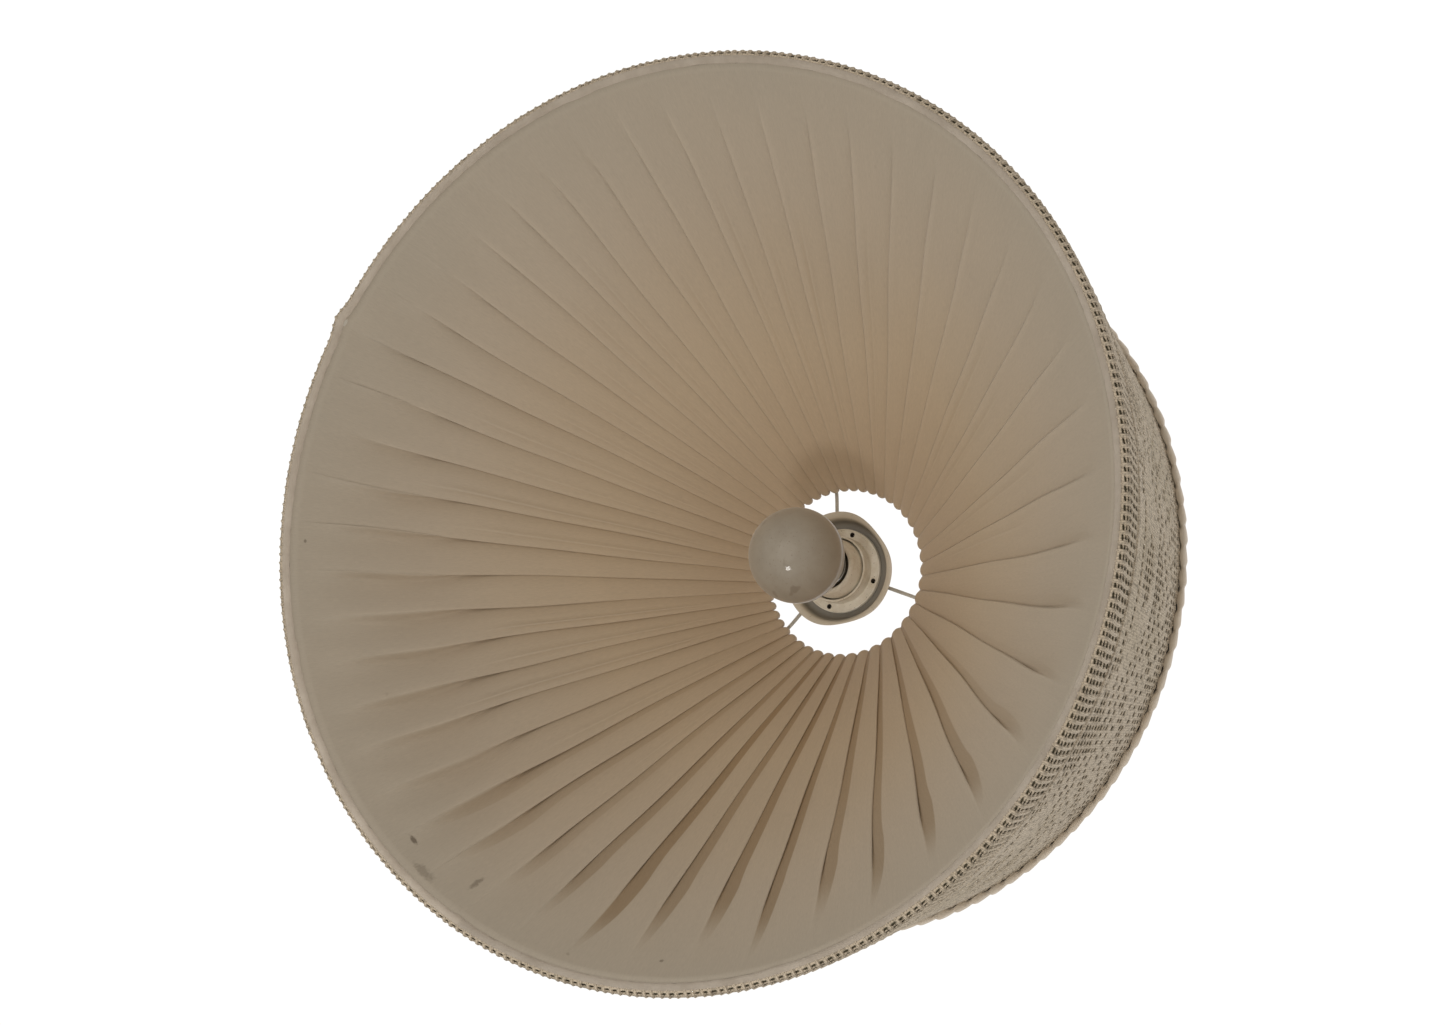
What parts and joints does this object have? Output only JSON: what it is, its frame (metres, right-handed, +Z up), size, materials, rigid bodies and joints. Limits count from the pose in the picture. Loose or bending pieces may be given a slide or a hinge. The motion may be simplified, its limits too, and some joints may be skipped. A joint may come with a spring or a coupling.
{
  "type": "pleated pendant lamp shade",
  "caption": "Wide pendant lamp shade: a round wire frame with a crocheted lace cover, a pleated satin lining drawn to a fitter ring, and a spider that carries the lampholder and bulb.",
  "frame": {"origin": "centre of the mouth, on the plane that the bottom edge rests on", "axes": "+Z up as the shade hangs, from the mouth to the cord grip; +X through the first rib"},
  "size_m": [0.5498, 0.5498, 0.281],
  "materials": {
    "frame_wire": "white-grey lacquered steel wire, worn at the welds",
    "white_enamel": "white enamelled pressed sheet, a little yellowed",
    "white_plastic": "moulded white plastic with light grime",
    "porcelain": "glazed white porcelain",
    "contact_brass": "plain pressed brass",
    "frosted_glass": "opal frosted glass, not see-through",
    "cap_metal": "rolled aluminium",
    "black_glass": "black vitrite",
    "cover_lace": "off-white cotton crochet lace with rows of openwork",
    "lining_satin": "cream satin lining, knife pleated",
    "hem_tape": "pale cotton tape with a frayed edge",
    "binding_tape": "cream bias tape wound round the ring"
  },
  "bodies": {
    "shade": {"bottom_ring": "frame_wire", "top_ring": "frame_wire", "fitter_ring": "frame_wire", "rib_1": "frame_wire", "rib_2": "frame_wire", "rib_3": "frame_wire", "rib_4": "frame_wire", "rib_5": "frame_wire", "rib_6": "frame_wire", "rib_7": "frame_wire", "rib_8": "frame_wire", "top_spoke_1": "frame_wire", "top_spoke_2": "frame_wire", "top_spoke_3": "frame_wire", "top_spoke_4": "frame_wire", "spider_arm_1": "frame_wire", "spider_arm_2": "frame_wire", "spider_arm_3": "frame_wire", "spider_cup": "white_enamel", "holder_skirt": "white_plastic", "holder_body": "white_plastic", "cord_grip": "white_plastic", "grip_screw": "white_plastic", "contact_insert": "porcelain", "thread_shell": "contact_brass", "side_contact": "contact_brass", "terminal_screw_1": "contact_brass", "terminal_screw_2": "contact_brass", "outer_cover": "cover_lace", "lining": "lining_satin", "lining_hem": "hem_tape", "top_binding": "binding_tape"},
    "bulb": {"bulb_glass": "frosted_glass", "bulb_cap": "cap_metal", "bulb_insulator": "black_glass", "bulb_contact": "cap_metal"},
    "clamp_ring": {"shade_ring": "white_plastic"},
    "contact_tongue": {"centre_contact": "contact_brass"}
  },
  "joints": [
    {"name": "bulb_out", "type": "slide", "parent": "shade", "child": "bulb", "axis": [0, 0, -1], "range_m": [0, 0.045]},
    {"name": "shade_ring_out", "type": "slide", "parent": "shade", "child": "clamp_ring", "axis": [0, 0, -1], "range_m": [0, 0.018]},
    {"name": "centre_contact_press", "type": "slide", "parent": "shade", "child": "contact_tongue", "axis": [0, 0, 1], "range_m": [0, 0.001], "stiffness_N_per_m": 300}
  ]
}
